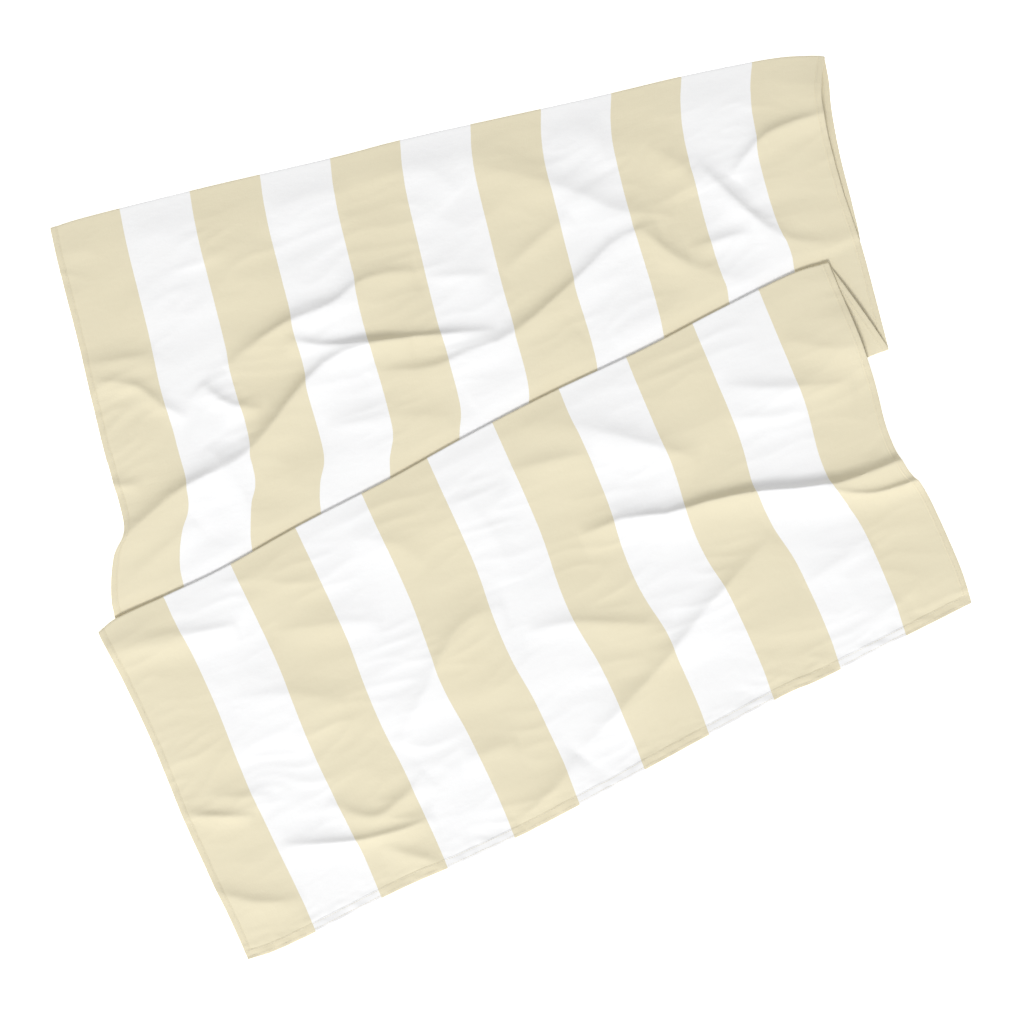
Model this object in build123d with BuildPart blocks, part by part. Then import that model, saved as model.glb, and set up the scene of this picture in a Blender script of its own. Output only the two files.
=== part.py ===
from build123d import *
import math
import os

os.makedirs("parts", exist_ok=True)

# A striped beach towel, folded across its width and laid flat, with one slanting tuck in its upper half.
# Millimetres. X and Y lie in the surface it rests on, +Z is up, and the origin is under the middle.

# Driving dimensions -------------------------------------------------------------------------------

# Ends of each fold and of both ends of the cloth, as (x, y), with the left side edge first.
top_fold = [(-513.0, 313.0), (346.0, 507.0)]
hidden_crease = [(-436.0, -147.0), (418.0, 179.0)]
visible_crease = [(-460.0, -134.0), (349.0, 277.0)]
near_end = [(-293.0, -500.0), (511.0, -105.0)]
far_end = [(-372.0, -290.0), (472.0, -100.0)]

# Lines across the cloth between two folds, where its side edges change direction.
under_lines = [[(-450.0, 75.0), (386.0, 280.0)], [(-412.0, -100.0), (396.0, 150.0)]]
upper_lines = [[(-482.0, 187.0), (360.0, 390.0)], [(-434.0, -24.0), (388.0, 297.0)]]
front_lines = [[(-400.0, -258.0), (433.0, 52.0)], [(-344.0, -391.0), (466.0, 8.0)]]

cloth = 1.0  # one ply
hem_thickness = 1.8  # a turned edge, its three plies pressed together
side_hem = 8.0
end_hem = 12.0
hinge_gap = 0.3  # kept between a fold and the ply that swings on it

under_level = 0.0  # underside of each ply, where it leaves its fold
upper_level = 2.5
pleat_level = 5.0
front_level = 9.0
near_end_level = 2.5  # underside of the front ply at the near end

thread_width = 0.6
thread_height = 0.2  # how far a row of stitches stands above its hem
side_row_inset = 6.0  # from the edge to the one row of a side hem
end_row_insets = {"outer": 3.0, "inner": 10.0}  # the two rows of an end hem
row_end_inset = 1.0  # from the side edges to the ends of those two rows


# Helpers ------------------------------------------------------------------------------------------


def along(start, end, distance):
    """The point that lies this far from start, on the way to end."""
    share = distance / math.dist(start, end)
    return tuple(a + (b - a) * share for a, b in zip(start, end))


def piece(label, corners, plane, bottom, thickness):
    """A flat piece with this outline, which stands this far above its plane."""
    with BuildPart() as flat:
        with BuildSketch(plane.offset(bottom)):
            with BuildLine():
                Polyline(*corners, close=True)
            make_face()
        extrude(amount=thickness)
    flat.part.label = label
    export_step(flat.part, f"parts/{label}.step")


def row_of_stitches(label, ends, plane, bottom):
    """A straight row of thread between these ends, which stands on a hem this far above its plane."""
    start, end = (along(ends[side], ends[1 - side], row_end_inset) for side in (0, 1))
    sideways = Vector(end[1] - start[1], start[0] - end[0]).normalized() * (thread_width / 2)
    corners = [
        (start[0] + sideways.X, start[1] + sideways.Y),
        (end[0] + sideways.X, end[1] + sideways.Y),
        (end[0] - sideways.X, end[1] - sideways.Y),
        (start[0] - sideways.X, start[1] - sideways.Y),
    ]
    piece(label, corners, plane, bottom, thread_height)


def inset_points(lines, side, distance):
    """The point on each line that lies this far in from its left (0) or right (1) end."""
    return [along(line[side], line[1 - side], distance) for line in lines]


def ply(name, plane, level, lines, end_hem_name=None):
    """One ply, laid out by lines across it, each its left and right end: its panel, its side hems
    and, where the last line is a free end, the end hem."""
    last = lines[-1]
    if end_hem_name:
        lines = lines[:-1] + [[along(last[side], lines[-2][side], end_hem) for side in (0, 1)]]
    hem_top = level + hem_thickness

    inner = [inset_points(lines, side, side_hem) for side in (0, 1)]
    piece(f"{name}_panel", inner[0] + inner[1][::-1], plane, level, cloth)

    for side, word in enumerate(("left", "right")):
        edge = [line[side] for line in lines]
        piece(f"{name}_hem_{word}", edge + inner[side][::-1], plane, level, hem_thickness)
        outer_side = inset_points(lines, side, side_row_inset - thread_width / 2)
        inner_side = inset_points(lines, side, side_row_inset + thread_width / 2)
        row = outer_side + inner_side[::-1]
        piece(f"{name}_stitches_{word}", row, plane, hem_top, thread_height)

    if end_hem_name:
        piece(end_hem_name, lines[-1] + last[::-1], plane, level, hem_thickness)
        for word, inset in end_row_insets.items():
            row = [along(last[side], lines[-1][side], inset) for side in (0, 1)]
            row_of_stitches(f"{end_hem_name}_stitches_{word}", row, plane, hem_top)


def turn(label, crease, lower, upper, bulges_back):
    """The cloth going round a fold: half a ring, as long as the fold, that joins two levels.
    It bulges towards the back, +Y, or towards the front."""
    middle = (lower + upper + cloth) / 2
    outer_radius = (upper + cloth - lower) / 2
    start, end = crease if bulges_back else crease[::-1]
    direction = Vector(end[0] - start[0], end[1] - start[1]).normalized()
    outward = Vector(-direction.Y, direction.X)
    section = Plane(origin=(start[0], start[1], middle), x_dir=outward, z_dir=direction)
    with BuildPart() as ring:
        with BuildSketch(section):
            Circle(outer_radius)
            Circle(outer_radius - cloth, mode=Mode.SUBTRACT)
            Rectangle(
                outer_radius, 2 * outer_radius, align=(Align.MAX, Align.CENTER), mode=Mode.SUBTRACT
            )
        extrude(amount=math.dist(start, end))
    ring.part.label = label
    export_step(ring.part, f"parts/{label}.step")


# The half underneath ------------------------------------------------------------------------------
# It lies flat on the surface, a little gathered, and ends in a hem under the front ply.

ply("under", Plane.XY, under_level, [top_fold, *under_lines, far_end], "far_end_hem")

turn("top_fold_turn", top_fold, under_level, upper_level, bulges_back=True)


# The upper ply and the tuck -----------------------------------------------------------------------
# The upper ply comes back over the hidden half, down to a crease under the front ply. There the cloth
# turns back on itself, up to the crease that shows.

upper_start = [along(top_fold[side], hidden_crease[side], hinge_gap) for side in (0, 1)]
ply("upper", Plane.XY, upper_level, [upper_start, *upper_lines, hidden_crease])

turn("hidden_crease_turn", hidden_crease, upper_level, pleat_level, bulges_back=False)

ply("pleat", Plane.XY, pleat_level, [visible_crease, hidden_crease])

turn("visible_crease_turn", visible_crease, pleat_level, front_level, bulges_back=True)


# The front ply ------------------------------------------------------------------------------------
# From the crease that shows it falls a little towards the near end. It is drawn in its own sloping
# plane, whose X runs along the crease and whose Y runs back over the upper ply.

crease_start = Vector(*visible_crease[0])
crease_direction = (Vector(*visible_crease[1]) - crease_start).normalized()
backwards = Vector(-crease_direction.Y, crease_direction.X)


def on_front(point):
    """A point of the floor plan in the front ply's own plane."""
    offset_from_start = Vector(*point) - crease_start
    return (offset_from_start.dot(crease_direction), offset_from_start.dot(backwards))


front_depth = -on_front(near_end[1])[1]
slope = (front_level - near_end_level) / front_depth
front_plane = Plane(
    origin=(visible_crease[0][0], visible_crease[0][1], front_level),
    x_dir=(crease_direction.X, crease_direction.Y, 0),
    z_dir=(-backwards.X * slope, -backwards.Y * slope, 1),
)
front_start = [along(visible_crease[side], near_end[side], hinge_gap) for side in (0, 1)]
front_plan = [front_start, *front_lines, near_end]
ply("front", front_plane, 0.0, [[on_front(end) for end in line] for line in front_plan], "near_end_hem")
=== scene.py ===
# %% [markdown]
# # A striped beach towel, folded and laid flat
# One thin woven cloth, 900 mm wide and 1500 mm long, lies folded across its width, with a slanting
# tuck in its upper half. This lesson builds it from the cloth up: where each stretch of cloth lies,
# how it wrinkles, how its edges are hemmed and sewn, and last its weave, the light and the camera.

# %% Load the frame
import math

import bpy
import numpy as np
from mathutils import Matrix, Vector, noise


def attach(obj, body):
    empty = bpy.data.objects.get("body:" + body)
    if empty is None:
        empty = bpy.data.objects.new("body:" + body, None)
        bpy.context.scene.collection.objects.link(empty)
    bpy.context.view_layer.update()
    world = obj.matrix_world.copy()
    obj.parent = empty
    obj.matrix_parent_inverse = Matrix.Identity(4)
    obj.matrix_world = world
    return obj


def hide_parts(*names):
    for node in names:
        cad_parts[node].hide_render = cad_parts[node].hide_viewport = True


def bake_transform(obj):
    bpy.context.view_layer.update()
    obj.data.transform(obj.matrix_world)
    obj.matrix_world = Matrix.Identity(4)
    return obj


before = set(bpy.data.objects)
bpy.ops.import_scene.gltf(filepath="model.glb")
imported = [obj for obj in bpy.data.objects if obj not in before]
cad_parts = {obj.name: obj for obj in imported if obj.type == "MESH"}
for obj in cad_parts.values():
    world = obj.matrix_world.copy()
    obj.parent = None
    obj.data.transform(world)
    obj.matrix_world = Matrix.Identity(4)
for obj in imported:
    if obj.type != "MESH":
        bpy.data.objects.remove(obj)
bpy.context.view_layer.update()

# %% [markdown]
# ## Where the cloth lies
# Seen from above, a folded cloth is a few four-sided stretches that share their folds. Each fold is
# given by its left and right end. The side edges between two folds aren't straight, because
# wrinkles pull them in, so each edge is a short list of points that a smooth curve runs through.
# All lengths are metres, X to the right and Y from the near end to the top fold.

# %% Folds and side edges
TOP_FOLD = [(-0.5130, 0.3130), (0.3460, 0.5070)]
HIDDEN_CREASE = [(-0.4360, -0.1470), (0.4180, 0.1790)]
VISIBLE_CREASE = [(-0.4600, -0.1340), (0.3490, 0.2770)]
NEAR_END = [(-0.2930, -0.5000), (0.5110, -0.1050)]
FAR_END = [(-0.3720, -0.2900), (0.4720, -0.1000)]

UNDER_LEFT_EDGE = [
    FAR_END[0], (-0.4100, -0.1050), (-0.4250, -0.0300), (-0.4480, 0.0850), (-0.4850, 0.2150),
    TOP_FOLD[0],
]
UNDER_RIGHT_EDGE = [
    FAR_END[1], (0.3960, 0.1500), (0.3880, 0.2850), (0.3790, 0.3350), (0.3640, 0.3950),
    (0.3540, 0.4480), (0.3510, 0.4800), TOP_FOLD[1],
]
UPPER_LEFT_EDGE = [
    TOP_FOLD[0], (-0.5030, 0.2700), (-0.4800, 0.1800), (-0.4560, 0.0760), (-0.4360, 0.0000),
    (-0.4325, -0.0280), (-0.4410, -0.0540), (-0.4440, -0.0950), HIDDEN_CREASE[0],
]
UPPER_RIGHT_EDGE = [
    TOP_FOLD[1], (0.3420, 0.4800), (0.3430, 0.4540), (0.3530, 0.4080), (0.3660, 0.3600),
    (0.3860, 0.3000), (0.4010, 0.2450), HIDDEN_CREASE[1],
]
FRONT_LEFT_EDGE = [
    VISIBLE_CREASE[0], (-0.4310, -0.1920), (-0.3990, -0.2600), (-0.3580, -0.3600),
    (-0.3120, -0.4580), NEAR_END[0],
]
FRONT_RIGHT_EDGE = [
    VISIBLE_CREASE[1], (0.3960, 0.1600), (0.4140, 0.0950), (0.4340, 0.0520), (0.4640, 0.0100),
    (0.4960, -0.0600), NEAR_END[1],
]

WIDTH = 0.900
CLOTH = 0.0008  # thickness of one ply
UNDER_LENGTH, FRONT_LENGTH = 0.615, 0.402

# %% [markdown]
# A fold isn't quite straight either. How far it bows, square to the line between its ends, is given
# at a few shares of its length, in millimetres. A smooth curve through a few points is a
# Catmull-Rom spline; the share t of an edge's length says how far along it a point is, so that the
# cloth isn't stretched in one place and packed in another.

# %% Smooth curves
TOP_BOW = [  # to the back
    (0.00, -2.0), (0.05, 1.5), (0.20, 4.5), (0.37, 5.5), (0.47, 8.0), (0.70, 7.0), (0.82, 8.0),
    (0.93, 5.5), (0.98, -1.0), (1.00, -6.0),
]
CREASE_BOW = [  # to the back
    (0.00, -5.0), (0.03, 0.5), (0.10, -1.5), (0.17, -3.0), (0.28, 1.0), (0.40, 1.5), (0.50, 5.0),
    (0.62, 6.0), (0.75, 2.5), (0.85, 3.5), (0.95, 2.5), (1.00, -5.0),
]
NEAR_BOW = [  # to the front
    (0.00, 0.0), (0.05, 5.0), (0.20, 6.0), (0.38, 9.5), (0.46, 8.5), (0.58, 4.0), (0.74, -1.0),
    (0.80, 1.0), (1.00, -1.0),
]


def curve_through(points, t):
    """Points at shares t, from 0 to 1, of a smooth curve that runs through these points."""
    points = np.array(points, float)
    ends = np.vstack([2 * points[0] - points[1], points, 2 * points[-1] - points[-2]])
    steps = np.linalg.norm(np.diff(points, axis=0), axis=1)
    knots = np.concatenate([[0], np.cumsum(steps)]) / steps.sum()
    t = np.clip(np.asarray(t, float), 0, 1)
    part = np.clip(np.searchsorted(knots, t, side="right") - 1, 0, len(points) - 2)
    u = ((t - knots[part]) / (knots[part + 1] - knots[part]))[..., None]
    before, start, end, after = (ends[part + k] for k in range(4))
    return 0.5 * (
        2 * start
        + (end - before) * u
        + (2 * before - 5 * start + 4 * end - after) * u**2
        + (3 * start - before - 3 * end + after) * u**3
    )


def bowed(bow, share):
    """How many metres a fold bows at these shares of its length."""
    shares, values = np.array(bow).T
    fine = curve_through(np.stack([shares, values / 300], axis=1), np.linspace(0, 1, 300))
    return np.interp(share, fine[:, 0], fine[:, 1] * 0.3)


def smoothstep(low, high, x):
    """0 below low, 1 above high, and smooth in between."""
    u = np.clip((x - low) / (high - low), 0, 1)
    return u * u * (3 - 2 * u)


def to_the_front(line):
    """Unit direction towards the near end, square to the line between these ends."""
    step = np.subtract(line[1], line[0])
    return np.array([step[1], -step[0]]) / np.linalg.norm(step)


top_to_front, crease_to_front = to_the_front(TOP_FOLD), to_the_front(VISIBLE_CREASE)
hidden_to_front, near_to_front = to_the_front(HIDDEN_CREASE), to_the_front(NEAR_END)
print("left edge's middle:", curve_through(UPPER_LEFT_EDGE, 0.5), "bow", bowed(TOP_BOW, 0.5))

# %% [markdown]
# ## Wrinkles
# A wrinkle in thin cloth is a ridge: gentle on one side and steep on the other, dying out at both
# ends. It also takes cloth up, so the cloth on both sides is drawn towards it, and a stripe that
# crosses it makes a small jog. Each ridge here is a line of points from left to right,
# its height, and how far it spreads towards the near end and towards the top fold. A cloth simulation
# would give other wrinkles every time, so these are listed one by one.

# %% The ridges
# (points, height, spread to the front, spread to the back), in millimetres
UPPER_RIDGES = [
    ([(-500, -92), (-440, -40), (-384, 10), (-347, 33), (-305, 52), (-275, 82), (-228, 140),
      (-195, 166), (-150, 182), (-110, 186)], 13, 24, 9),
    ([(-460, -118), (-400, -60), (-350, -16)], 5, 14, 8),
    ([(-252, 188), (-200, 183), (-110, 193), (-20, 202)], 8, 14, 6),
    ([(-320, 160), (-272, 196), (-235, 217), (-198, 233), (-165, 258), (-110, 270)], 8, 18, 8),
    ([(-160, 146), (-88, 156), (-50, 172), (2, 196), (46, 232), (83, 266), (115, 298),
      (160, 316)], 9, 22, 8),
    ([(-12, 264), (30, 302), (62, 326)], 3.5, 12, 8),
    ([(-50, 385), (22, 368), (75, 350), (120, 332), (180, 326)], 6, 28, 15),
    ([(136, 314), (180, 280), (216, 260), (270, 238)], 7, 15, 9),
    ([(205, 386), (250, 342), (284, 312), (312, 297), (360, 287), (425, 281)], 8, 17, 8),
    ([(245, 372), (274, 410), (305, 428), (355, 442)], 8, 15, 7),
    ([(196, 290), (232, 300), (266, 307)], 4, 12, 7),
    ([(-470, 142), (-420, 138), (-390, 118), (-360, 102)], 5.5, 13, 8),
    ([(-346, 141), (-318, 120), (-280, 114)], 5.5, 12, 7),
    ([(-480, 158), (-436, 168), (-396, 173)], 3.5, 13, 8),
    ([(-470, 30), (-438, 29), (-412, 28)], 2.5, 8, 5),
    ([(-100, 259), (-60, 262), (-26, 262)], 3, 12, 7),
    ([(-420, 305), (-330, 300), (-250, 285)], 2.5, 34, 24),
    ([(-140, 405), (-90, 378), (-60, 350)], 3.5, 28, 18),
    ([(60, 440), (90, 415), (110, 380)], 3.5, 24, 16),
    ([(-336, 74), (-300, 20), (-282, -26)], 5, 15, 13),
    ([(-205, 88), (-130, 100), (-64, 98)], 4, 20, 11),
    ([(-46, 116), (20, 150), (76, 194)], 4, 20, 11),
    ([(114, 186), (170, 215), (220, 254)], 4, 18, 11),
    ([(150, 402), (190, 380), (205, 350)], 3.5, 18, 12),
    ([(-270, 330), (-220, 352), (-180, 352)], 2.5, 20, 12),
]
FRONT_RIDGES = [
    ([(76, -30), (122, -10), (172, -4), (218, 10), (270, 20), (320, 24), (366, 32), (398, 46),
      (445, 64), (520, 92)], 14, 22, 8),
    ([(345, 20), (390, 15), (430, 24), (520, 60)], 8, 13, 6),
    ([(-490, -152), (-440, -147), (-398, -144), (-354, -137), (-305, -127)], 7, 15, 7),
    ([(-128, -264), (-96, -200), (-76, -156), (-50, -122), (-8, -106)], 6.5, 20, 15),
    ([(16, -136), (76, -124), (178, -128)], 5, 19, 10),
    ([(76, -268), (128, -214), (172, -166), (216, -110), (290, -30)], 7.5, 22, 13),
    ([(10, 100), (75, 92), (142, 76), (208, 58)], 7, 24, 13),
    ([(232, 138), (305, 136), (380, 142)], 5, 20, 11),
    ([(240, 102), (290, 104), (330, 112)], 3, 13, 8),
    ([(-6, 42), (62, 58), (90, 60)], 4.5, 16, 10),
    ([(-366, -338), (-320, -340), (-286, -340)], 4.5, 10, 5),
    ([(-334, -318), (-266, -317)], 3, 13, 7),
    ([(-345, -420), (-290, -434), (-230, -434)], 5, 17, 10),
    ([(-256, -372), (-176, -368), (-124, -356), (-86, -340)], 7, 14, 7),
    ([(-206, -324), (-156, -338), (-124, -320), (-96, -292)], 5, 14, 8),
    ([(8, -346), (52, -304), (74, -274)], 5.5, 17, 12),
    ([(-146, -377), (-74, -393)], 3.5, 12, 7),
    ([(-264, -135), (-200, -126), (-144, -124)], 3.5, 18, 12),
    ([(-306, -211), (-240, -205), (-184, -213)], 3, 24, 15),
    ([(-56, -277), (6, -258)], 3, 18, 12),
    ([(324, -84), (372, -54), (396, -36)], 3.5, 18, 12),
    ([(-60, 20), (-20, -30), (0, -80)], 3, 28, 22),
    ([(300, 190), (350, 180), (395, 182)], 3.5, 18, 12),
    ([(-180, -30), (-130, -38), (-96, -60)], 3, 20, 13),
    ([(350, -150), (400, -126), (430, -100)], 2.5, 16, 11),
]
print(len(UPPER_RIDGES) + len(FRONT_RIDGES), "ridges")

# %% [markdown]
# A ridge's height fades with the distance from its line, more slowly in front than behind. The
# nearest point of the line decides which side a place is on, and how close it is to the ridge's ends.

# %% How a ridge lifts and draws in the cloth
DRAWN_IN = 1.7  # share of a ridge's taken-up length that shows as a jog beside it
GATHER = 0.009  # how far beside a ridge the jog builds up
REACH = 0.065  # how far beside a ridge the jog dies out
CREST = 0.0012  # how round the top of a ridge is
CURVE_STEPS = 20


def ridges_at(x, y, ridges):
    """Height, and shift in X and Y, that these ridges give the cloth at points x, y."""
    place = np.stack([x, y], axis=-1)
    height = np.zeros_like(x)
    shift = np.zeros_like(place)
    for points, rise, front, back in ridges:
        rise, front, back = rise / 1000, front / 1000, back / 1000
        line = curve_through(np.array(points) / 1000, np.linspace(0, 1, CURVE_STEPS))
        nearest = np.full(x.shape, np.inf)
        side = np.zeros_like(x)
        share = np.zeros_like(x)
        across = np.zeros_like(place)
        for k in range(CURVE_STEPS - 1):
            step = line[k + 1] - line[k]
            size = np.linalg.norm(step)
            u = np.clip(((place - line[k]) @ step) / size**2, 0, 1)
            gap = place - (line[k] + u[..., None] * step)
            distance = np.linalg.norm(gap, axis=-1)
            closer = distance < nearest
            nearest = np.where(closer, distance, nearest)
            turned = step[0] * gap[..., 1] - step[1] * gap[..., 0]
            side = np.where(closer, np.sign(turned), side)
            share = np.where(closer, (k + u) / (CURVE_STEPS - 1), share)
            normal = np.array([-step[1], step[0]]) / size
            across = np.where(closer[..., None], normal, across)
        taper = np.sin(np.pi * np.clip(share, 0, 1)) ** 0.55
        rounded = np.sqrt(nearest**2 + CREST**2) - CREST
        behind = np.exp(-((rounded / back) ** 1.15))
        before = np.exp(-((rounded / front) ** 1.5))
        height += rise * taper * np.where(side > 0, behind, before)
        taken_up = min(DRAWN_IN * rise**2 / (front + back), 0.6 * GATHER)
        pull = taken_up * taper * (1 - np.exp(-nearest / GATHER)) * np.exp(-nearest / REACH)
        shift -= across * (side * pull)[..., None]
    return height, shift


def unevenness(x, y, size, seed):
    """Soft ups and downs between -1 and 1, of about this size."""
    flat_x, flat_y = np.ravel(x) / size, np.ravel(y) / size
    found = [noise.noise(Vector((a, b, seed))) for a, b in zip(flat_x, flat_y)]
    return np.reshape(found, np.shape(x))


test = ridges_at(np.array([0.27]), np.array([0.018]), FRONT_RIDGES)
print("the cloth on the long front ridge stands", test[0], "m up")

# %% [markdown]
# ## Heights
# The plies lie on each other: the hidden half on the surface, the upper ply on it, then the back
# of the tuck, then the front ply, which falls from the crease that shows to the surface. A ply is
# never lower than what lies under it, so wrinkles only add height.

# %% Heights of the plies
# Of each ply's middle
UNDER_Z = 0.0008
UPPER_Z = 0.0028
PLEAT_Z = 0.0045
FRONT_CREASE_Z = 0.0067
SURFACE_Z = 0.0008  # of a ply that lies on the surface
OVER_UNDER = 0.0018  # how much higher a ply lies on the hidden half
OVER_TUCK_FALL = 0.008  # how steeply the front ply falls over the tuck
FRONT_FALL = 0.10  # and beyond it
REST_ROUND = 0.0012  # how round the front ply's foot is

CREASING_SLANT = 0.38  # radians
CREASING_HEIGHT = 0.0016
HELD_HEIGHT, HELD_SLOPE = 0.0012, 0.11  # the highest wrinkle at a fold, and how that grows
GATHERED_HEIGHT, GATHERED_REACH = 0.0012, 0.018

# Where a ply stands up by itself: (height, place, reach)
TOP_GAP = (0.0045, (0.343, 0.462), 0.032)
CREASE_LIFTS = [
    (0.0018, (-0.455, -0.135), 0.060), (0.0012, (0.345, 0.270), 0.040),
    (0.0085, (0.378, 0.202), 0.036),
]
TUCK_LIFT, TUCK_REACH = 0.0045, 0.050


def beyond(line, bow, x, y):
    """How far in front of a fold, with its bow, a point lies."""
    (left, right), to_front = line, to_the_front(line)
    width = math.dist(left, right)
    x, y = x - left[0], y - left[1]
    share = (x * (right[0] - left[0]) + y * (right[1] - left[1])) / width**2
    return x * to_front[0] + y * to_front[1] + bowed(bow, share)


def beyond_crease(x, y):
    return beyond(VISIBLE_CREASE, CREASE_BOW, x, y)


def creasing(x, y, seed):
    """Many small soft wrinkles, long towards the upper right and narrow across."""
    patches = unevenness(x, y, 0.080, seed)
    along = x * math.cos(CREASING_SLANT) + y * math.sin(CREASING_SLANT)
    over = y * math.cos(CREASING_SLANT) - x * math.sin(CREASING_SLANT)
    over = over + 0.018 * unevenness(x, y, 0.090, seed + 1.3)
    small = 1 - np.abs(unevenness(along * 0.30, over, 0.019, seed + 3.7))
    broad = unevenness(along * 0.45, over, 0.036, seed + 7.9)
    fine = small**2 * np.clip(0.55 + 1.2 * patches, 0, 1.2)
    return CREASING_HEIGHT * fine + CREASING_HEIGHT * (1 + broad)


def held_down(height, from_fold):
    """A wrinkle can't stand high close to a fold, because the fold holds it down."""
    most = HELD_HEIGHT + HELD_SLOPE * np.clip(from_fold, 0, None)
    return height * most / (height**4 + most**4 + 1e-14) ** 0.25


def upper_cover(x, y):
    """Height and shift of the upper ply, fading out where a fold holds it flat."""
    height, shift = ridges_at(x, y, UPPER_RIDGES)
    behind_crease, from_top = -beyond_crease(x, y), beyond(TOP_FOLD, TOP_BOW, x, y)
    shows = smoothstep(0.002, 0.018, behind_crease)
    near_fold = smoothstep(0.0, 0.040, from_top)
    height = held_down(height + creasing(x, y, 3.1), np.minimum(behind_crease, from_top))
    return height * shows * (0.12 + 0.88 * near_fold), shift * (shows * near_fold)[..., None]


def stands_up(x, y, height, place, reach):
    """A smooth rise round one place."""
    away = np.hypot(x - place[0], y - place[1])
    return height * np.exp(-((away / reach) ** 2))


def open_fold(x, y):
    """The top fold gapes near its right end."""
    return stands_up(x, y, *TOP_GAP)


def front_cover(x, y):
    """Height and shift that wrinkles give the front ply."""
    height, shift = ridges_at(x, y, FRONT_RIDGES)
    past = beyond_crease(x, y)
    free = smoothstep(0.0, 0.022, past)
    height = held_down(height + 0.8 * creasing(x, y, 9.4), past)
    return height * free, shift * free[..., None]


def gathers(from_seam, along):
    """Small gathers where a seam draws the cloth together."""
    quick = unevenness(along, 1.5 * from_seam, 0.010, 6.1)
    slow = unevenness(along, from_seam, 0.026, 1.9)
    fading = np.exp(-from_seam / GATHERED_REACH)
    return GATHERED_HEIGHT * np.maximum(1 + 1.2 * quick + slow, 0) * fading


def crease_lift(x, y):
    """The front ply stands up a little at both ends of its crease, and where its right edge lies on
    the springy corner of the tuck."""
    return sum(stands_up(x, y, *lift) for lift in CREASE_LIFTS)


def tuck_lift(s, t):
    """The tuck's back stands up behind its right edge."""
    return TUCK_LIFT * np.sin(np.pi * t) * np.exp(-(((1 - s) * WIDTH / TUCK_REACH) ** 2))


def front_rest(x, y, tuck_depth):
    """Height at which the front ply lies, without its wrinkles. tuck_depth is how far the tuck
    reaches under it."""
    past = beyond_crease(x, y)
    over_tuck = FRONT_CREASE_Z - OVER_TUCK_FALL * past
    falling = over_tuck - FRONT_FALL * np.clip(past - tuck_depth - 0.004, 0.0, None)
    from_top = (np.stack([x, y], axis=-1) - TOP_FOLD[0]) @ top_to_front
    on_under = smoothstep(UNDER_LENGTH + 0.02, UNDER_LENGTH - 0.01, from_top)
    lying = SURFACE_Z + OVER_UNDER * on_under
    return 0.5 * (falling + lying + np.sqrt((falling - lying) ** 2 + REST_ROUND**2))


# %% [markdown]
# ## The cloth as a map
# A point of the cloth has two numbers: s, its share of the width from the left edge, and q, how far
# along the cloth it is, where each whole number starts a new stretch. The map turns them into a
# place. Every piece is laid out with the same map, the hems and the stitches too, so they
# all follow the cloth.

# %% The map from cloth to place
UNDER, TOP_TURN, UPPER, HIDDEN_TURN, PLEAT, VISIBLE_TURN, FRONT = range(7)


def across(ends, s):
    """The point at share s of a straight line between two ends."""
    start, end = np.array(ends[0]), np.array(ends[1])
    return start + (end - start) * s[..., None]


def between(edges, s, t, start_bow=None, end_bow=None):
    """The point at share s of the width, and t of the length, of a ply with these left and right
    edges, whose two folds bow by these distances and directions."""
    left, right = curve_through(edges[0], t), curve_through(edges[1], t)
    place = left + (right - left) * s[..., None]
    for bow, fading in ((start_bow, (1 - t) ** 2), (end_bow, t**2)):
        if bow:
            place = place + (bowed(bow[0], s) * fading)[..., None] * bow[1]
    return place


AT_TOP = (TOP_BOW, -top_to_front)
AT_CREASE = (CREASE_BOW, -crease_to_front)
AT_NEAR_END = (NEAR_BOW, near_to_front)


def upper_place(s, t):
    xy = between((UPPER_LEFT_EDGE, UPPER_RIGHT_EDGE), s, t, start_bow=AT_TOP)
    height, shift = upper_cover(xy[..., 0], xy[..., 1])
    xy = xy + shift
    z = UPPER_Z + height + open_fold(xy[..., 0], xy[..., 1])
    return np.concatenate([xy, z[..., None]], axis=-1)


def under_place(s, t):
    xy = between((UNDER_LEFT_EDGE, UNDER_RIGHT_EDGE), s, t, end_bow=AT_TOP)
    away_from_fold = smoothstep(0.0, 0.08, (1 - t) * UNDER_LENGTH)
    lying = np.minimum(0.35 * creasing(xy[..., 0], xy[..., 1], 6.6), 0.0004) * away_from_fold
    return np.concatenate([xy, (UNDER_Z + lying)[..., None]], axis=-1)


def pleat_place(s, t):
    edges = [(HIDDEN_CREASE[side], VISIBLE_CREASE[side]) for side in (0, 1)]
    xy = between(edges, s, t, end_bow=AT_CREASE)
    return np.concatenate([xy, (PLEAT_Z + tuck_lift(s, t))[..., None]], axis=-1)


def front_place(s, t):
    xy = between((FRONT_LEFT_EDGE, FRONT_RIGHT_EDGE), s, t, AT_CREASE, AT_NEAR_END)
    height, shift = front_cover(xy[..., 0], xy[..., 1])
    xy = xy + shift
    hidden, shown = across(HIDDEN_CREASE, s), across(VISIBLE_CREASE, s)
    z = front_rest(xy[..., 0], xy[..., 1], np.linalg.norm(hidden - shown, axis=-1)) + height
    z = z + crease_lift(xy[..., 0], xy[..., 1]) + gathers((1 - t) * FRONT_LENGTH, s * WIDTH)
    return np.concatenate([xy, z[..., None]], axis=-1)


def turn_place(before, after, outward, t):
    """A half circle from one ply's edge round to the other's."""
    middle = (before + after) / 2
    radius = np.abs(after[..., 2] - before[..., 2]) / 2
    up = np.sign(after[..., 2] - before[..., 2])
    angle = np.pi * (t - 0.5)
    out = (radius * np.cos(angle))[..., None] * outward
    return np.concatenate(
        [middle[..., :2] + out, (middle[..., 2] + up * radius * np.sin(angle))[..., None]], axis=-1
    )


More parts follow.
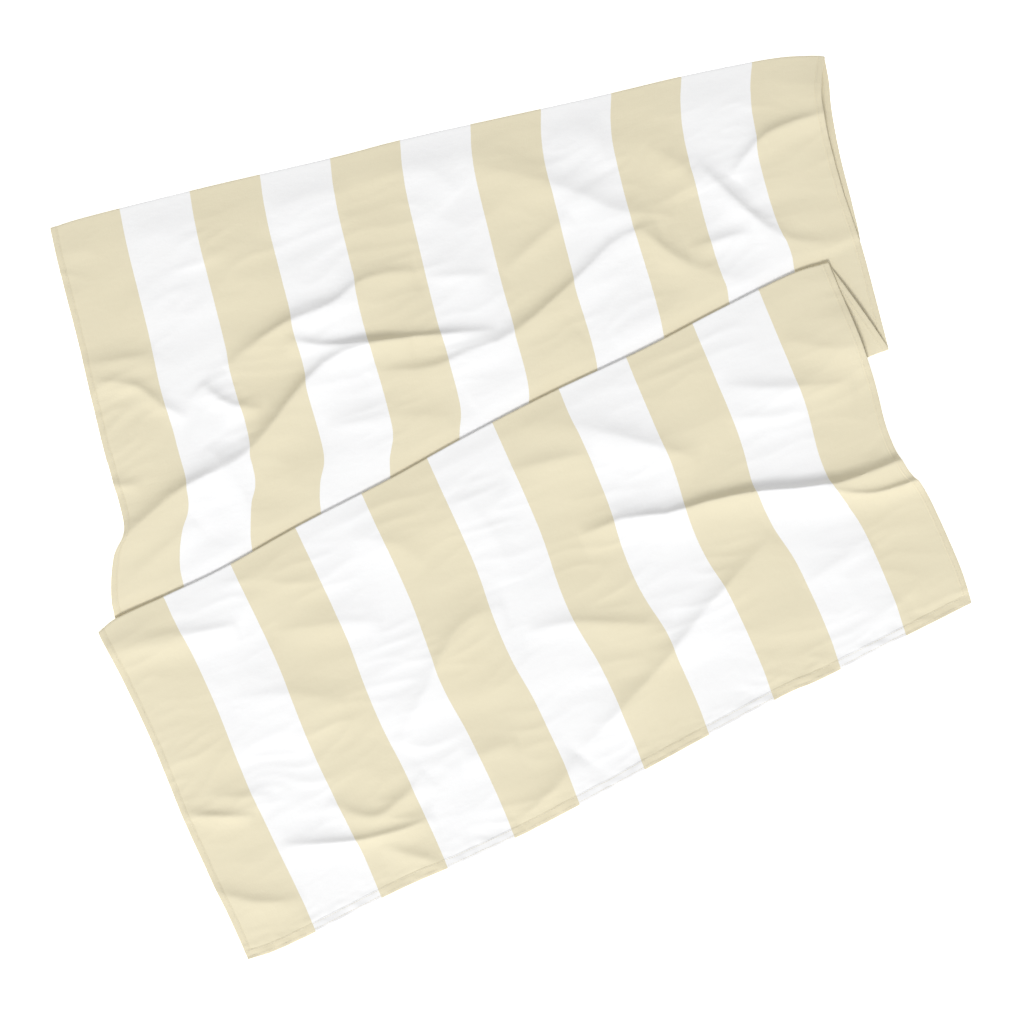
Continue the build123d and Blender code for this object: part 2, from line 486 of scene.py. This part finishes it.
def cloth_place(s, q):
    """Where the cloth is, at share s of its width and q along its stretches."""
    s, q = np.broadcast_arrays(np.asarray(s, float), np.asarray(q, float))
    stretch = np.clip(np.floor(q + 1e-9), 0, 6).astype(int)
    t = np.clip(q - stretch, 0, 1)
    found = np.zeros(s.shape + (3,))
    zero, one = np.zeros_like(s), np.ones_like(s)

    def fill(which, place):
        here = stretch == which
        if here.any():
            found[here] = place(here)

    fill(UNDER, lambda m: under_place(s[m], t[m]))
    fill(TOP_TURN, lambda m: turn_place(
        under_place(s[m], one[m]), upper_place(s[m], zero[m]), -top_to_front, t[m]))
    fill(UPPER, lambda m: upper_place(s[m], t[m]))
    fill(HIDDEN_TURN, lambda m: turn_place(
        upper_place(s[m], one[m]), pleat_place(s[m], zero[m]), hidden_to_front, t[m]))
    fill(PLEAT, lambda m: pleat_place(s[m], t[m]))
    fill(VISIBLE_TURN, lambda m: turn_place(
        pleat_place(s[m], one[m]), front_place(s[m], zero[m]), -crease_to_front, t[m]))
    fill(FRONT, lambda m: front_place(s[m], t[m]))
    return found


# Length of cloth, along its left and its right edge, at the start of each stretch
LEFT_LENGTHS = [-0.645, 0.0, 0.0, 0.459, 0.462, 0.478, 0.481, 0.855]
RIGHT_LENGTHS = [-0.645, 0.0, 0.0, 0.330, 0.333, 0.446, 0.449, 0.855]


def cloth_length(s, q):
    """How far from the top fold, along the cloth, a point is."""
    left = np.interp(q, range(8), LEFT_LENGTHS)
    right = np.interp(q, range(8), RIGHT_LENGTHS)
    return left + (right - left) * s


print("near end, left corner:", cloth_place(0.0, 7.0))

# %% [markdown]
# ## Rows and columns
# The cloth becomes a mesh by walking the map in rows along its length and columns across its width.
# It is made as three sheets: the hidden half, the upper
# ply with the tuck's back, and the front ply. They meet where no one can see: just under the top fold
# and just inside the tuck.

# %% Rows of each sheet
COLUMNS = 256
STUB = 0.012  # how far the upper sheet reaches under the top fold
TUCK_STUB = 0.0005  # how far the front sheet reaches into the tuck


def tuck_split(s):
    """q of the line inside the tuck where the upper sheet ends and the front sheet starts."""
    hidden, shown = across(HIDDEN_CREASE, s), across(VISIBLE_CREASE, s)
    return 5 - TUCK_STUB / np.linalg.norm(hidden - shown, axis=-1)


def under_rows(s):
    return np.linspace(0, 1 - STUB / UNDER_LENGTH, 62)[:, None] + 0 * s


def upper_rows(s):
    fixed = np.concatenate([
        np.linspace(1 - STUB / UNDER_LENGTH, 1, 3), np.linspace(1, 2, 9)[1:],
        np.linspace(2, 3, 161)[1:], np.linspace(3, 4, 7)[1:],
    ])
    in_tuck = 4 + (tuck_split(s) - 4) * np.linspace(0, 1, 9)[1:, None]
    return np.vstack([fixed[:, None] + 0 * s, in_tuck])


def front_rows(s):
    in_tuck = tuck_split(s) + (5 - tuck_split(s)) * np.linspace(0, 1, 4)[:, None]
    fixed = np.concatenate([np.linspace(5, 6, 11)[1:], np.linspace(6, 7, 171)[1:]])
    return np.vstack([in_tuck, fixed[:, None] + 0 * s])


print("rows:", [len(rows(np.zeros(1))) for rows in (under_rows, upper_rows, front_rows)])

# %% [markdown]
# A grid of points becomes a mesh of quads. Its UV map holds the cloth's own metres, across and
# along, so that stripes and weave run with the cloth over every fold.

# %% A mesh from a grid of points


def grid_mesh(name, points, uv, closed_around=False):
    """A mesh of quads between rows of points. closed_around joins each row's end to its start, and
    closes both ends of the tube that this makes."""
    rows, columns = points.shape[:2]
    index = np.arange(rows * columns).reshape(rows, columns)
    if closed_around:
        index = np.hstack([index, index[:, :1]])
    quads = np.stack(
        [index[:-1, :-1], index[:-1, 1:], index[1:, 1:], index[1:, :-1]], axis=-1
    ).reshape(-1, 4).tolist()
    if closed_around:
        quads += [index[0, :-1][::-1].tolist(), index[-1, :-1].tolist()]
    mesh = bpy.data.meshes.new(name)
    mesh.from_pydata(points.reshape(-1, 3).tolist(), [], quads)
    layer = mesh.uv_layers.new(name="UVMap")
    corner = np.zeros(len(mesh.loops), np.int32)
    mesh.loops.foreach_get("vertex_index", corner)
    layer.data.foreach_set("uv", uv.reshape(-1, 2)[corner].astype(np.float32).ravel())
    piece = bpy.data.objects.new(name, mesh)
    bpy.context.collection.objects.link(piece)
    return piece


def only(piece):
    """Select this piece alone."""
    bpy.ops.object.select_all(action="DESELECT")
    bpy.context.view_layer.objects.active = piece
    piece.select_set(True)


def face_outwards(piece):
    """Turn all faces of a closed piece outwards, and shade it smooth."""
    only(piece)
    bpy.ops.object.mode_set(mode="EDIT")
    bpy.ops.mesh.select_all(action="SELECT")
    bpy.ops.mesh.normals_make_consistent(inside=False)
    bpy.ops.object.mode_set(mode="OBJECT")
    bpy.ops.object.shade_smooth_by_angle(angle=math.radians(50))


# %% [markdown]
# The sheet is a surface with no thickness at first. A Solidify modifier, applied, gives it the
# cloth's thickness, half to each side. The sheet stops a little inside the cloth's edge, because the
# hem wraps round it.

# %% The three sheets of cloth
EDGE_INSET = 0.0016


def make_sheet(name, rows):
    """One stretch of the cloth, as a closed shell as thick as the cloth."""
    s = np.linspace(EDGE_INSET / WIDTH, 1 - EDGE_INSET / WIDTH, COLUMNS + 1)
    q = rows(s)
    s = np.broadcast_to(s, q.shape)
    uv = np.stack([s * WIDTH, cloth_length(s, q)], axis=-1)
    piece = grid_mesh(name, cloth_place(s, q), uv)
    only(piece)
    solidify = piece.modifiers.new("thickness", "SOLIDIFY")
    solidify.thickness = CLOTH
    solidify.offset = 0
    bpy.ops.object.modifier_apply(modifier=solidify.name)
    face_outwards(piece)
    print(name, len(piece.data.polygons), "faces")
    return piece


under_cloth = make_sheet("under_cloth", under_rows)
upper_cloth = make_sheet("upper_cloth", upper_rows)
front_cloth = make_sheet("front_cloth", front_rows)

# %% [markdown]
# ## Hems
# The cut edge of a towel is turned over twice and sewn down, so it is about twice as thick as the
# cloth, with a round outer edge and a small step inside. The seam presses a groove in it, and draws
# it up a little between the stitches. A hem is a closed section swept along the edge by the map.

# %% Section of a hem, and which way the cloth faces
SIDE_HEM, END_HEM = 0.008, 0.012
SIDE_ROW = 0.0060  # from the edge to the row of stitches
END_ROWS = {"outer": 0.0030, "inner": 0.0100}
HEM_HALF = 0.00080  # half the hem's thickness


def hem_section(width, grooves):
    """Points round the section, as (distance from the edge, height above the cloth's middle)."""
    top = [(0.0000, 0.0), (0.0002, 0.62), (0.0007, 0.92)]
    middle = sorted(
        [(width * share, 1.0) for share in (0.28, 0.5)]
        + [(groove + side, 0.97) for groove in grooves for side in (-0.0007, 0.0007)]
        + [(groove, 0.74) for groove in grooves]
    )
    last = [(width - 0.0004, 0.92), (width, 0.42)]
    upper_half = [(inset, share * HEM_HALF) for inset, share in top + middle + last]
    lower_half = [(inset, -height) for inset, height in upper_half[:0:-1]]
    return np.array(upper_half + lower_half)


def cloth_normal(s, q):
    """Unit normal of the cloth."""
    ds, dq = 0.0012, 0.003
    s, q = np.broadcast_arrays(s, q)
    stretch = np.clip(np.floor(q + 1e-9), 0, 6)
    q_low, q_high = np.maximum(q - dq, stretch), np.minimum(q + dq, stretch + 1 - 1e-7)
    a = cloth_place(np.clip(s + ds, 0, 1), q) - cloth_place(np.clip(s - ds, 0, 1), q)
    b = cloth_place(s, q_high) - cloth_place(s, q_low)
    a /= np.linalg.norm(a, axis=-1, keepdims=True)
    b /= np.linalg.norm(b, axis=-1, keepdims=True)
    normal = np.cross(a, b)
    return normal / np.linalg.norm(normal, axis=-1, keepdims=True)


def pucker(along):
    """How far the seam draws a hem in, along its length in metres."""
    quick = unevenness(along, along * 0 + 0.37, 0.0065, 4.2)
    slow = unevenness(along, along * 0 + 0.11, 0.021, 8.8)
    return np.clip(0.00014 + 0.00016 * quick + 0.00018 * slow, 0.0, 0.0004)


def swept_hem(name, s, q, heights):
    """A closed hem from rows of map points, each row once round the section."""
    normal = cloth_normal(s, q)
    length = cloth_length(s, q)
    drawn = pucker(length + s * WIDTH)
    place = cloth_place(s, q) + normal * (heights * (1 - drawn / HEM_HALF))[..., None]
    uv = np.stack([s * WIDTH, length], axis=-1)
    piece = grid_mesh(name, place, uv, closed_around=True)
    face_outwards(piece)
    return piece


def side_hem(name, rows, left):
    """The hem along one side edge of a sheet."""
    section = hem_section(SIDE_HEM, [SIDE_ROW])
    s = section[:, 0] / WIDTH if left else 1 - section[:, 0] / WIDTH
    q = rows(s)
    return swept_hem(name, np.broadcast_to(s, q.shape), q, np.broadcast_to(section[:, 1], q.shape))


def end_hem(name, q_end, inward, ply_length):
    """The hem across one end of the cloth. inward is +1 or -1, towards the rest of the cloth."""
    section = hem_section(END_HEM, END_ROWS.values())
    q = q_end + inward * section[:, 0] / ply_length
    s = np.linspace(0, 1, COLUMNS + 1)[:, None] + 0 * q
    corner = 1 + 0.25 * np.exp(-np.minimum(s, 1 - s) * WIDTH / SIDE_HEM)
    heights = section[:, 1] * corner
    return swept_hem(name, s, np.broadcast_to(q, s.shape), heights)


print("points round an end hem:", len(hem_section(END_HEM, END_ROWS.values())))

# %% [markdown]
# Each of the three sheets has a hem at both sides. The far and near end of the cloth have one each.

# %% The hems
SHEET_ROWS = {"under": under_rows, "upper": upper_rows, "front": front_rows}
SIDES = [(f"{ply}_{{}}_{letter}", rows, letter == "l")
         for ply, rows in SHEET_ROWS.items() for letter in "lr"]

hems = {
    **{name.format("hem"): side_hem(name.format("hem"), rows, left) for name, rows, left in SIDES},
    "far_hem": end_hem("far_hem", 0.0, 1, UNDER_LENGTH),
    "near_hem": end_hem("near_hem", 7.0, -1, FRONT_LENGTH),
}
print({name: len(hem.data.polygons) for name, hem in hems.items()})

# %% [markdown]
# ## Stitches
# A sewing machine's lockstitch shows as short lengths of thread in a row, on both faces. One
# stitch is a low-sided capsule that dips into the cloth at both ends; it is modelled once and
# set along each row every three millimetres.

# %% One stitch
STITCH_PITCH = 0.0030
STITCH_LENGTH = 0.0025
THREAD_RADIUS = 0.00026
PATH_STEPS = 400  # along the path of a row across the cloth

bpy.ops.object.select_all(action="DESELECT")
bpy.ops.mesh.primitive_uv_sphere_add(segments=6, ring_count=5, radius=1.0)
stitch = bpy.context.object
bpy.ops.object.mode_set(mode="EDIT")
bpy.ops.mesh.select_all(action="SELECT")
bpy.ops.transform.rotate(value=math.pi / 2, orient_axis="Y", center_override=(0, 0, 0))
bpy.ops.object.mode_set(mode="OBJECT")
stitch_points = np.array([v.co[:] for v in stitch.data.vertices])
stitch_points *= (STITCH_LENGTH / 2, THREAD_RADIUS, THREAD_RADIUS)
stitch_faces = [list(face.vertices) for face in stitch.data.polygons]
bpy.data.objects.remove(stitch)
print("faces of one stitch:", len(stitch_faces))

# %% [markdown]
# The row is walked at even steps. At each step the stitch is turned to run along the row and to lie
# flat on the hem, once on the upper face and once on the lower.

# %% A row of stitches


def stitch_row(name, s_path, q_path):
    """Stitches along a path of map points, on both faces of the cloth."""
    fine = cloth_place(s_path, q_path)
    travelled = np.concatenate([[0], np.cumsum(np.linalg.norm(np.diff(fine, axis=0), axis=1))])
    count = int(travelled[-1] / STITCH_PITCH)
    at = (np.arange(count) + 0.5) * STITCH_PITCH
    s, q = np.interp(at, travelled, s_path), np.interp(at, travelled, q_path)
    middle, ahead = cloth_place(s, q), cloth_place(
        np.interp(at + 0.0004, travelled, s_path), np.interp(at + 0.0004, travelled, q_path))
    normal = cloth_normal(s, q)
    tangent = ahead - middle
    tangent /= np.linalg.norm(tangent, axis=1, keepdims=True)
    sideways = np.cross(normal, tangent)
    points, faces = [], []
    for face_side in (1, -1):
        seat = middle + normal * (face_side * HEM_HALF * 0.88)
        for k in range(count):
            start = len(points) * len(stitch_points)
            axes = np.array([tangent[k], sideways[k], normal[k]])
            points.append(stitch_points @ axes + seat[k])
            faces += [[start + corner for corner in face] for face in stitch_faces]
    mesh = bpy.data.meshes.new(name)
    mesh.from_pydata(np.vstack(points).tolist(), [], faces)
    piece = bpy.data.objects.new(name, mesh)
    bpy.context.collection.objects.link(piece)
    face_outwards(piece)
    return piece


def side_stitches(name, rows, left):
    share = SIDE_ROW / WIDTH if left else 1 - SIDE_ROW / WIDTH
    q = rows(np.array([share]))[:, 0]
    return stitch_row(name, np.full(len(q), share), q)


def end_stitches(name, q_end, inward, ply_length, inset):
    s = np.linspace(0.004, 0.996, PATH_STEPS)
    return stitch_row(name, s, np.full(PATH_STEPS, q_end + inward * inset / ply_length))


# %% [markdown]
# One row runs along each side hem, and two along each end hem.

# %% The rows of stitches
stitches = {
    name.format("seam"): side_stitches(name.format("seam"), rows, left)
    for name, rows, left in SIDES
}
for word, inset in END_ROWS.items():
    stitches[f"far_seam_{word}"] = end_stitches(f"far_seam_{word}", 0.0, 1, UNDER_LENGTH, inset)
    stitches[f"near_seam_{word}"] = end_stitches(f"near_seam_{word}", 7.0, -1, FRONT_LENGTH, inset)
print({name: len(row.data.polygons) for name, row in stitches.items()})

# %% [markdown]
# ## Which body each piece rides on
# The hidden half lies still: its sheet, side hems and stitches, and the far end's hem and stitches,
# ride on the body under_half. The near end's hem and stitches ride on the body front_flap. The upper
# and front sheets, with their side hems and stitches, only have their places baked into their points
# and ride on no body.


def bend_at_top(piece):
    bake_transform(piece)


def bend_at_front(piece):
    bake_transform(piece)


MOVES = {"under": lambda piece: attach(piece, "under_half"), "upper": bend_at_top,
         "front": bend_at_front}
for piece in (under_cloth, upper_cloth, front_cloth):
    MOVES[piece.name.split("_")[0]](piece)
for piece in (*hems.values(), *stitches.values()):
    stretch = piece.name.split("_")[0]
    if stretch == "far":
        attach(piece, "under_half")
    elif stretch == "near":
        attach(piece, "front_flap")
    else:
        MOVES[stretch](piece)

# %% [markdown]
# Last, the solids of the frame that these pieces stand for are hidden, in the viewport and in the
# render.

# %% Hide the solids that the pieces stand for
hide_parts("under_panel")
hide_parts("top_fold_turn", "upper_panel", "hidden_crease_turn", "pleat_panel")
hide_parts("visible_crease_turn", "front_panel")
for letter, word in (("l", "left"), ("r", "right")):
    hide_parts(f"under_hem_{word}")
    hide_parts(f"upper_hem_{word}", f"pleat_hem_{word}")
    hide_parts(f"front_hem_{word}")
    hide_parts(f"under_stitches_{word}")
    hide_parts(f"upper_stitches_{word}",
                f"pleat_stitches_{word}")
    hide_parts(f"front_stitches_{word}")
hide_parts("far_end_hem")
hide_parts("near_end_hem")
for word in END_ROWS:
    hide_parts(f"far_end_hem_stitches_{word}")
    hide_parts(f"near_end_hem_stitches_{word}")


# %% [markdown]
# ## The woven cloth
# Stripes and weave read the UV map, which is in metres across and along the cloth. A stripe is an
# odd or even step across the width. Its edge wavers by a thread, as in any woven stripe.

# %% Helpers for node groups


def node_group(name, inputs, outputs):
    """An empty node group with these sockets, each (name, kind, starting value)."""
    group = bpy.data.node_groups.new(name, "ShaderNodeTree")
    for in_out, sockets in (("INPUT", inputs), ("OUTPUT", outputs)):
        for socket, kind, value in sockets:
            made = group.interface.new_socket(socket, in_out=in_out, socket_type=f"NodeSocket{kind}")
            if value is not None:
                made.default_value = value
    return group, group.nodes.new("NodeGroupInput"), group.nodes.new("NodeGroupOutput")


def math_node(tree, operation, first, second=None, third=None):
    """A Math node whose inputs are numbers or other nodes' outputs."""
    node = tree.nodes.new("ShaderNodeMath")
    node.operation = operation
    for socket, value in zip(node.inputs, (first, second, third)):
        if isinstance(value, (int, float)):
            socket.default_value = value
        elif value is not None:
            tree.links.new(value, socket)
    return node.outputs[0]


def noise_node(tree, vector, scale, detail=2.0):
    node = tree.nodes.new("ShaderNodeTexNoise")
    node.inputs["Scale"].default_value = scale
    node.inputs["Detail"].default_value = detail
    tree.links.new(vector, node.inputs["Vector"])
    return node.outputs["Fac"]


def stretched(tree, vector, across, along):
    """The cloth's coordinates, scaled across and along."""
    node = tree.nodes.new("ShaderNodeVectorMath")
    node.operation = "MULTIPLY"
    node.inputs[1].default_value = (across, along, 1)
    tree.links.new(vector, node.inputs[0])
    return node.outputs[0]


print("helpers ready")

# %% Stripes
STRIPES = 11


def stripe_group():
    """White where the cloth's stripe is white, 0 where it is sand."""
    group, given, result = node_group(
        "WovenStripes", [("Cloth", "Vector", None), ("Waver", "Float", 0.0005)],
        [("White", "Float", None)])
    split = group.nodes.new("ShaderNodeSeparateXYZ")
    group.links.new(given.outputs["Cloth"], split.inputs[0])
    threads = noise_node(group, stretched(group, given.outputs["Cloth"], 60, 900), 1.0, 1.0)
    waver = math_node(group, "MULTIPLY", math_node(group, "SUBTRACT", threads, 0.5),
                      given.outputs["Waver"])
    place = math_node(group, "ADD", split.outputs["X"], waver)
    step = math_node(group, "FLOOR", math_node(group, "MULTIPLY", place, STRIPES / WIDTH))
    odd = math_node(group, "MODULO", step, 2.0)
    group.links.new(odd, result.inputs["White"])
    return group


STRIPE_GROUP = stripe_group()
print("group:", STRIPE_GROUP.name)

# %% [markdown]
# The weave is fine and smooth: two sets of threads that pass over each other, with a thicker thread
# here and there, and faint rumples that never quite wash out. Close up all this shows as bump, and
# from further off as a slight unevenness in colour.

# %% Weave


def weave_group():
    """Height of the weave, and a faint streakiness along its threads."""
    group, given, result = node_group(
        "FineWeave", [("Cloth", "Vector", None), ("Threads per metre", "Float", 1900.0)],
        [("Height", "Float", None), ("Streaks", "Float", None)])
    split = group.nodes.new("ShaderNodeSeparateXYZ")
    group.links.new(given.outputs["Cloth"], split.inputs[0])
    turns = math_node(group, "MULTIPLY", given.outputs["Threads per metre"], math.pi)
    warp = math_node(group, "SINE", math_node(group, "MULTIPLY", split.outputs["X"], turns))
    weft = math_node(group, "SINE", math_node(group, "MULTIPLY", split.outputs["Y"], turns))
    crossing = math_node(group, "MULTIPLY", warp, weft)
    warp_slubs = noise_node(group, stretched(group, given.outputs["Cloth"], 700, 14), 1.0)
    weft_slubs = noise_node(group, stretched(group, given.outputs["Cloth"], 14, 700), 1.0)
    streaks = math_node(group, "MULTIPLY", math_node(group, "ADD", warp_slubs, weft_slubs), 0.5)
    rumples = noise_node(group, stretched(group, given.outputs["Cloth"], 90, 130), 1.0, 3.0)
    threads = math_node(group, "ADD", math_node(group, "MULTIPLY", crossing, 0.35),
                        math_node(group, "MULTIPLY", streaks, 0.9))
    height = math_node(group, "ADD", threads, math_node(group, "MULTIPLY", rumples, 3.0))
    group.links.new(height, result.inputs["Height"])
    group.links.new(streaks, result.inputs["Streaks"])
    return group


WEAVE_GROUP = weave_group()
print("group:", WEAVE_GROUP.name)

# %% [markdown]
# The cloth's colour is sand or white, made a little uneven by the streaks of its threads and by
# broad soft patches where it was washed and rubbed. It is matte, with the slight sheen of fine
# fibres.

# %% The towel cloth
SAND = (0.815, 0.752, 0.562, 1)
SAND_DEEP = (0.784, 0.711, 0.514, 1)
WHITE = (0.950, 0.950, 0.950, 1)
WHITE_DEEP = (0.925, 0.926, 0.932, 1)


def mixed(tree, factor, first, second):
    """A colour between two, each a plain colour or another node's output."""
    node = tree.nodes.new("ShaderNodeMix")
    node.data_type = "RGBA"
    tree.links.new(factor, node.inputs["Factor"])
    for socket, value in ((node.inputs[6], first), (node.inputs[7], second)):
        if isinstance(value, tuple):
            socket.default_value = value
        else:
            tree.links.new(value, socket)
    return node.outputs[2]


def grouped(tree, group, **links):
    node = tree.nodes.new("ShaderNodeGroup")
    node.node_tree = group
    for name, value in links.items():
        tree.links.new(value, node.inputs[name])
    return node


def cloth_material(name, wear, bump_depth):
    """The striped cloth. wear is how uneven its colour is."""
    material = bpy.data.materials.new(name)
    material.use_nodes = True
    tree = material.node_tree
    shader = tree.nodes["Principled BSDF"]
    uv = tree.nodes.new("ShaderNodeUVMap")
    uv.uv_map = "UVMap"
    cloth = uv.outputs["UV"]
    stripes = grouped(tree, STRIPE_GROUP, Cloth=cloth)
    weave = grouped(tree, WEAVE_GROUP, Cloth=cloth)
    patches = noise_node(tree, cloth, 9.0, 3.0)
    uneven = math_node(tree, "ADD", math_node(tree, "MULTIPLY", patches, 0.6 * wear),
                       math_node(tree, "MULTIPLY", weave.outputs["Streaks"], 0.5 * wear))
    sand = mixed(tree, uneven, SAND, SAND_DEEP)
    white = mixed(tree, uneven, WHITE, WHITE_DEEP)
    colour = mixed(tree, stripes.outputs["White"], sand, white)
    tree.links.new(colour, shader.inputs["Base Color"])
    roughness = math_node(tree, "ADD", 0.66, math_node(tree, "MULTIPLY", patches, 0.16))
    tree.links.new(roughness, shader.inputs["Roughness"])
    shader.inputs["Specular IOR Level"].default_value = 0.30
    shader.inputs["Sheen Weight"].default_value = 0.08
    shader.inputs["Sheen Roughness"].default_value = 0.45
    bump = tree.nodes.new("ShaderNodeBump")
    bump.inputs["Strength"].default_value = 0.5
    bump.inputs["Distance"].default_value = bump_depth
    tree.links.new(weave.outputs["Height"], bump.inputs["Height"])
    tree.links.new(bump.outputs["Normal"], shader.inputs["Normal"])
    return material


towel_cloth = cloth_material("TowelCloth", wear=1.0, bump_depth=0.00022)
hem_cloth = cloth_material("HemCloth", wear=1.5, bump_depth=0.00030)
print("cloth materials:", towel_cloth.name, hem_cloth.name)

# %% [markdown]
# Sewing thread is twisted from fine plies, so it has a slanting ridge along it and a slight gloss.

# %% The thread
THREAD = (0.845, 0.805, 0.680, 1)
THREAD_DEEP = (0.760, 0.705, 0.560, 1)


def thread_material():
    material = bpy.data.materials.new("SewingThread")
    material.use_nodes = True
    tree = material.node_tree
    shader = tree.nodes["Principled BSDF"]
    where = tree.nodes.new("ShaderNodeTexCoord").outputs["Object"]
    twist = tree.nodes.new("ShaderNodeTexWave")
    twist.bands_direction = "DIAGONAL"
    twist.inputs["Scale"].default_value = 900
    tree.links.new(where, twist.inputs["Vector"])
    shade = noise_node(tree, where, 240.0, 1.0)
    tree.links.new(mixed(tree, shade, THREAD, THREAD_DEEP), shader.inputs["Base Color"])
    shader.inputs["Roughness"].default_value = 0.48
    bump = tree.nodes.new("ShaderNodeBump")
    bump.inputs["Distance"].default_value = 0.00006
    tree.links.new(twist.outputs["Fac"], bump.inputs["Height"])
    tree.links.new(bump.outputs["Normal"], shader.inputs["Normal"])
    return material


sewing_thread = thread_material()


def finish_with(piece, material):
    piece.data.materials.clear()
    piece.data.materials.append(material)


for piece in (under_cloth, upper_cloth, front_cloth):
    finish_with(piece, towel_cloth)
for piece in hems.values():
    finish_with(piece, hem_cloth)
for piece in stitches.values():
    finish_with(piece, sewing_thread)
print("finished", 3 + len(hems) + len(stitches), "pieces")

# %% [markdown]
# ## Floor, light and camera
# The towel lies on a plain white floor that glows a little, like a light table, so that no shadow
# falls on it. One lamp hangs high over the near side, so that each wrinkle is light on its front
# slope and shaded behind, and a bright even surround keeps the shadows soft.

# %% The floor
bpy.ops.object.select_all(action="DESELECT")
bpy.ops.mesh.primitive_plane_add(size=12, location=(0, 0, -0.0003))
floor = bpy.context.object
floor.name = "floor"
floor_paint = bpy.data.materials.new("FloorPaint")
floor_paint.use_nodes = True
floor_shader = floor_paint.node_tree.nodes["Principled BSDF"]
floor_shader.inputs["Base Color"].default_value = (0.97, 0.97, 0.97, 1)
floor_shader.inputs["Roughness"].default_value = 0.9
floor_shader.inputs["Specular IOR Level"].default_value = 0.1
floor_shader.inputs["Emission Color"].default_value = (1, 1, 1, 1)
floor_shader.inputs["Emission Strength"].default_value = 0.60
floor.data.materials.append(floor_paint)

# %% The light
KEY_POWER = 690.0
SURROUND = 0.56


def area_lamp(name, place, target, size, power):
    """A square lamp that faces its target."""
    data = bpy.data.lights.new(name, "AREA")
    data.shape, data.size, data.energy = "SQUARE", size, power
    lamp = bpy.data.objects.new(name, data)
    bpy.context.collection.objects.link(lamp)
    lamp.location = place
    lamp.rotation_euler = (Vector(target) - Vector(place)).to_track_quat("-Z", "Y").to_euler()
    return lamp


area_lamp("key", (-0.5, -7.2, 7.4), (0, 0, 0), 3.0, KEY_POWER)
world = bpy.data.worlds.new("surround")
world.use_nodes = True
world.node_tree.nodes["Background"].inputs["Color"].default_value = (1, 1, 1, 1)
world.node_tree.nodes["Background"].inputs["Strength"].default_value = SURROUND
bpy.context.scene.world = world
bpy.context.scene.view_settings.view_transform = "Standard"
print("light:", KEY_POWER, SURROUND)

# %% [markdown]
# The camera looks straight down through a long lens, so that nothing leans.

# %% The camera
VIEW_WIDTH = 1.1377
CAMERA_HEIGHT = 3.2
SENSOR = 36.0
camera_data = bpy.data.cameras.new("camera")
camera_data.sensor_width = SENSOR
camera_data.lens = SENSOR * CAMERA_HEIGHT / VIEW_WIDTH
camera_data.clip_end = 30
camera = bpy.data.objects.new("camera", camera_data)
bpy.context.collection.objects.link(camera)
camera.location = (0.0, -0.0026, CAMERA_HEIGHT)
camera.rotation_euler = (0, 0, 0)
bpy.context.scene.camera = camera
print("lens:", round(camera_data.lens, 1), "mm")
